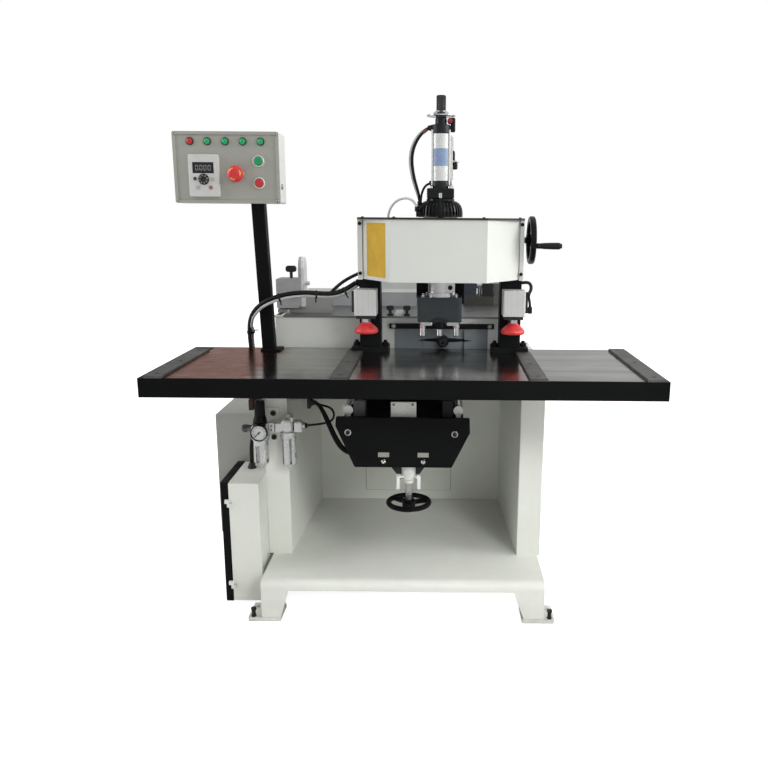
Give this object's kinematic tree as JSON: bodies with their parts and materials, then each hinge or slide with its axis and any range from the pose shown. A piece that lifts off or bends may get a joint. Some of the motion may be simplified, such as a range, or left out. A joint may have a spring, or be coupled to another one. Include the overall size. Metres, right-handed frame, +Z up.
{
  "type": "door lock mortiser",
  "caption": "Floor-standing door lock mortiser: flat work table, overhead drilling gantry with pad clamps, rear mortising spindle on a knee, and a control box on a pole.",
  "frame": {"origin": "bottom centre of the machine's box, on the floor", "axes": "+X to the operator's right, +Y from the operator to the rear, +Z up"},
  "size_m": [1.2, 0.848, 1.355],
  "materials": {
    "pale_paint": "satin",
    "grey_paint": "satin",
    "black_paint": "satin",
    "white_paint": "satin",
    "bright_plate": "polished mill finish",
    "bar_steel": "dull",
    "foot_steel": "satin",
    "dark_bolt": "blackened",
    "panel_paint": "fine texture",
    "lamp_plastic": "gloss",
    "green_plastic": "gloss",
    "red_plastic": "gloss",
    "grey_plastic": "matte",
    "black_plastic": "matte",
    "air_alloy": "cast",
    "aluminium": "satin anodised",
    "red_rubber": "matte",
    "steel": "ground",
    "chrome": "polished",
    "cast_black": "painted",
    "belt_rubber": "matte",
    "curtain_rubber": "matte",
    "cable_black": "satin",
    "tube_white": "satin"
  },
  "bodies": {
    "machine": {"base_tray": "pale_paint", "left_column": "pale_paint", "right_column": "pale_paint", "rear_panel": "pale_paint", "foot_plates": "foot_steel", "levelling_bolts": "dark_bolt", "table_frame": "black_paint", "table_plates": "bright_plate", "table_bars": "bar_steel", "panel_pole": "black_paint", "control_box": "panel_paint", "indicator_lamps": "lamp_plastic", "inverter_keypad": "grey_plastic", "air_service_unit": "air_alloy", "electrical_cabinet": "pale_paint", "inverter_box": "grey_paint", "gantry_posts": "black_paint", "gantry_cover": "white_paint", "cross_guide_rods": "steel", "clamp_cylinders": "aluminium", "knee_frame": "black_paint", "dust_curtain": "curtain_rubber", "rear_bed": "grey_paint", "bed_fittings": "grey_paint", "main_cable": "cable_black", "air_supply_hose": "cable_black", "knee_hose_front": "cable_black", "knee_hose_rear": "cable_black", "cabinet_cable": "cable_black"},
    "start_button": {"start_button": "green_plastic"},
    "stop_button": {"stop_button": "red_plastic"},
    "emergency_stop": {"emergency_stop": "red_plastic"},
    "keypad_dial": {"keypad_dial": "black_plastic"},
    "regulator_knob": {"regulator_knob": "black_plastic"},
    "gauge_needle": {"gauge_needle": "black_plastic"},
    "cabinet_door": {"cabinet_door": "black_paint"},
    "left_clamp_foot": {"left_clamp_foot": "red_rubber"},
    "right_clamp_foot": {"right_clamp_foot": "red_rubber"},
    "cross_screw": {"cross_screw": "cast_black"},
    "handwheel_grip": {"handwheel_grip": "black_plastic"},
    "center_spindle": {"center_spindle": "steel"},
    "left_spindle": {"left_spindle": "steel"},
    "right_spindle": {"right_spindle": "steel"},
    "lift_screw": {"lift_screw": "black_paint"},
    "lock_levers": {"lock_levers": "white_paint"},
    "lift_carriage": {"lift_carriage": "black_paint"},
    "feed_saddle": {"feed_saddle": "steel"},
    "traverse_slide": {"traverse_slide": "steel"},
    "mortise_spindle": {"mortise_spindle": "steel"},
    "curtain_lip": {"curtain_lip": "curtain_rubber"},
    "door_stop": {"door_stop": "grey_paint"},
    "drill_carriage": {"head_carriage": "steel", "drill_motor": "cast_black", "feed_cylinder": "aluminium", "head_hose": "cable_black", "head_air_tube": "tube_white"},
    "drill_head": {"feed_rod": "steel", "drill_quill": "aluminium", "gearbox": "cast_black", "drive_belts": "belt_rubber"}
  },
  "joints": [
    {"name": "start_press", "type": "slide", "parent": "machine", "child": "start_button", "axis": [0, 1, 0], "range_m": [0, 0.004], "stiffness_N_per_m": 300},
    {"name": "stop_press", "type": "slide", "parent": "machine", "child": "stop_button", "axis": [0, 1, 0], "range_m": [0, 0.004], "stiffness_N_per_m": 300},
    {"name": "emergency_stop_press", "type": "slide", "parent": "machine", "child": "emergency_stop", "axis": [0, 1, 0], "range_m": [0, 0.005], "stiffness_N_per_m": 500},
    {"name": "keypad_dial_turn", "type": "hinge", "parent": "machine", "child": "keypad_dial", "pos_m": [-0.515, -0.1195, 1.147], "axis": [0, -1, 0], "continuous": true},
    {"name": "regulator_knob_turn", "type": "hinge", "parent": "machine", "child": "regulator_knob", "pos_m": [-0.405, -0.101, 0.54], "axis": [0, 0, 1], "continuous": true},
    {"name": "gauge_needle_turn", "type": "hinge", "parent": "machine", "child": "gauge_needle", "pos_m": [-0.402, -0.135, 0.49], "axis": [0, 1, 0], "range_deg": [0, 270], "stiffness_Nm_per_rad": 0.0006},
    {"name": "cabinet_door_hinge", "type": "hinge", "parent": "machine", "child": "cabinet_door", "pos_m": [-0.486, -0.1605, 0.18], "axis": [0, 0, 1], "range_deg": [0, 110]},
    {"name": "left_clamp_stroke", "type": "slide", "parent": "machine", "child": "left_clamp_foot", "axis": [0, 0, -1], "range_m": [0, 0.041]},
    {"name": "right_clamp_stroke", "type": "slide", "parent": "machine", "child": "right_clamp_foot", "axis": [0, 0, -1], "range_m": [0, 0.041]},
    {"name": "cross_wheel_turn", "type": "hinge", "parent": "machine", "child": "cross_screw", "pos_m": [0.325, -0.026, 1], "axis": [1, 0, 0], "range_deg": [-2890, 2890]},
    {"name": "head_cross", "type": "slide", "parent": "machine", "child": "drill_carriage", "axis": [1, 0, 0], "range_m": [-0.04, 0.04]},
    {"name": "handwheel_grip_turn", "type": "hinge", "parent": "cross_screw", "child": "handwheel_grip", "pos_m": [0.36, -0.078, 0.987], "axis": [1, 0, 0], "continuous": true},
    {"name": "drill_feed", "type": "slide", "parent": "drill_carriage", "child": "drill_head", "axis": [0, 0, 1], "range_m": [0, 0.06]},
    {"name": "center_spindle_turn", "type": "hinge", "parent": "drill_head", "child": "center_spindle", "pos_m": [0.0795, -0.084, 0.8], "axis": [0, 0, 1], "continuous": true},
    {"name": "left_spindle_turn", "type": "hinge", "parent": "drill_head", "child": "left_spindle", "pos_m": [0.0345, -0.084, 0.8], "axis": [0, 0, 1], "continuous": true},
    {"name": "right_spindle_turn", "type": "hinge", "parent": "drill_head", "child": "right_spindle", "pos_m": [0.1245, -0.084, 0.8], "axis": [0, 0, 1], "continuous": true},
    {"name": "lift_wheel_turn", "type": "hinge", "parent": "machine", "child": "lift_screw", "pos_m": [0.003, -0.219, 0.331], "axis": [0, 0, 1], "range_deg": [-2, 1082]},
    {"name": "mortiser_lift", "type": "slide", "parent": "machine", "child": "lift_carriage", "axis": [0, 0, 1], "range_m": [0, 0.012]},
    {"name": "lock_lever_turn", "type": "hinge", "parent": "machine", "child": "lock_levers", "pos_m": [0.003, -0.232, 0.404], "axis": [1, 0, 0], "range_deg": [-60, 60]},
    {"name": "mortiser_feed", "type": "slide", "parent": "lift_carriage", "child": "feed_saddle", "axis": [0, -1, 0], "range_m": [0, 0.1]},
    {"name": "mortiser_traverse", "type": "slide", "parent": "feed_saddle", "child": "traverse_slide", "axis": [1, 0, 0], "range_m": [-0.04, 0.04]},
    {"name": "curtain_follow", "type": "slide", "parent": "lift_carriage", "child": "curtain_lip", "axis": [1, 0, 0], "range_m": [-0.0401, 0.0401]},
    {"name": "mortise_spindle_turn", "type": "hinge", "parent": "traverse_slide", "child": "mortise_spindle", "pos_m": [0.089, 0.076, 0.717], "axis": [0, -1, 0], "continuous": true},
    {"name": "door_stop_slide", "type": "slide", "parent": "machine", "child": "door_stop", "axis": [1, 0, 0], "range_m": [0, 0.06]}
  ],
  "couplings": [
    {"joint": "cross_wheel_turn", "follows": "head_cross", "rad_per_m": 1256.6},
    {"joint": "left_spindle_turn", "follows": "center_spindle_turn", "ratio": 1},
    {"joint": "right_spindle_turn", "follows": "center_spindle_turn", "ratio": 1},
    {"joint": "lift_wheel_turn", "follows": "mortiser_lift", "rad_per_m": 1570.8},
    {"joint": "curtain_follow", "follows": "mortiser_traverse", "ratio": 1}
  ]
}
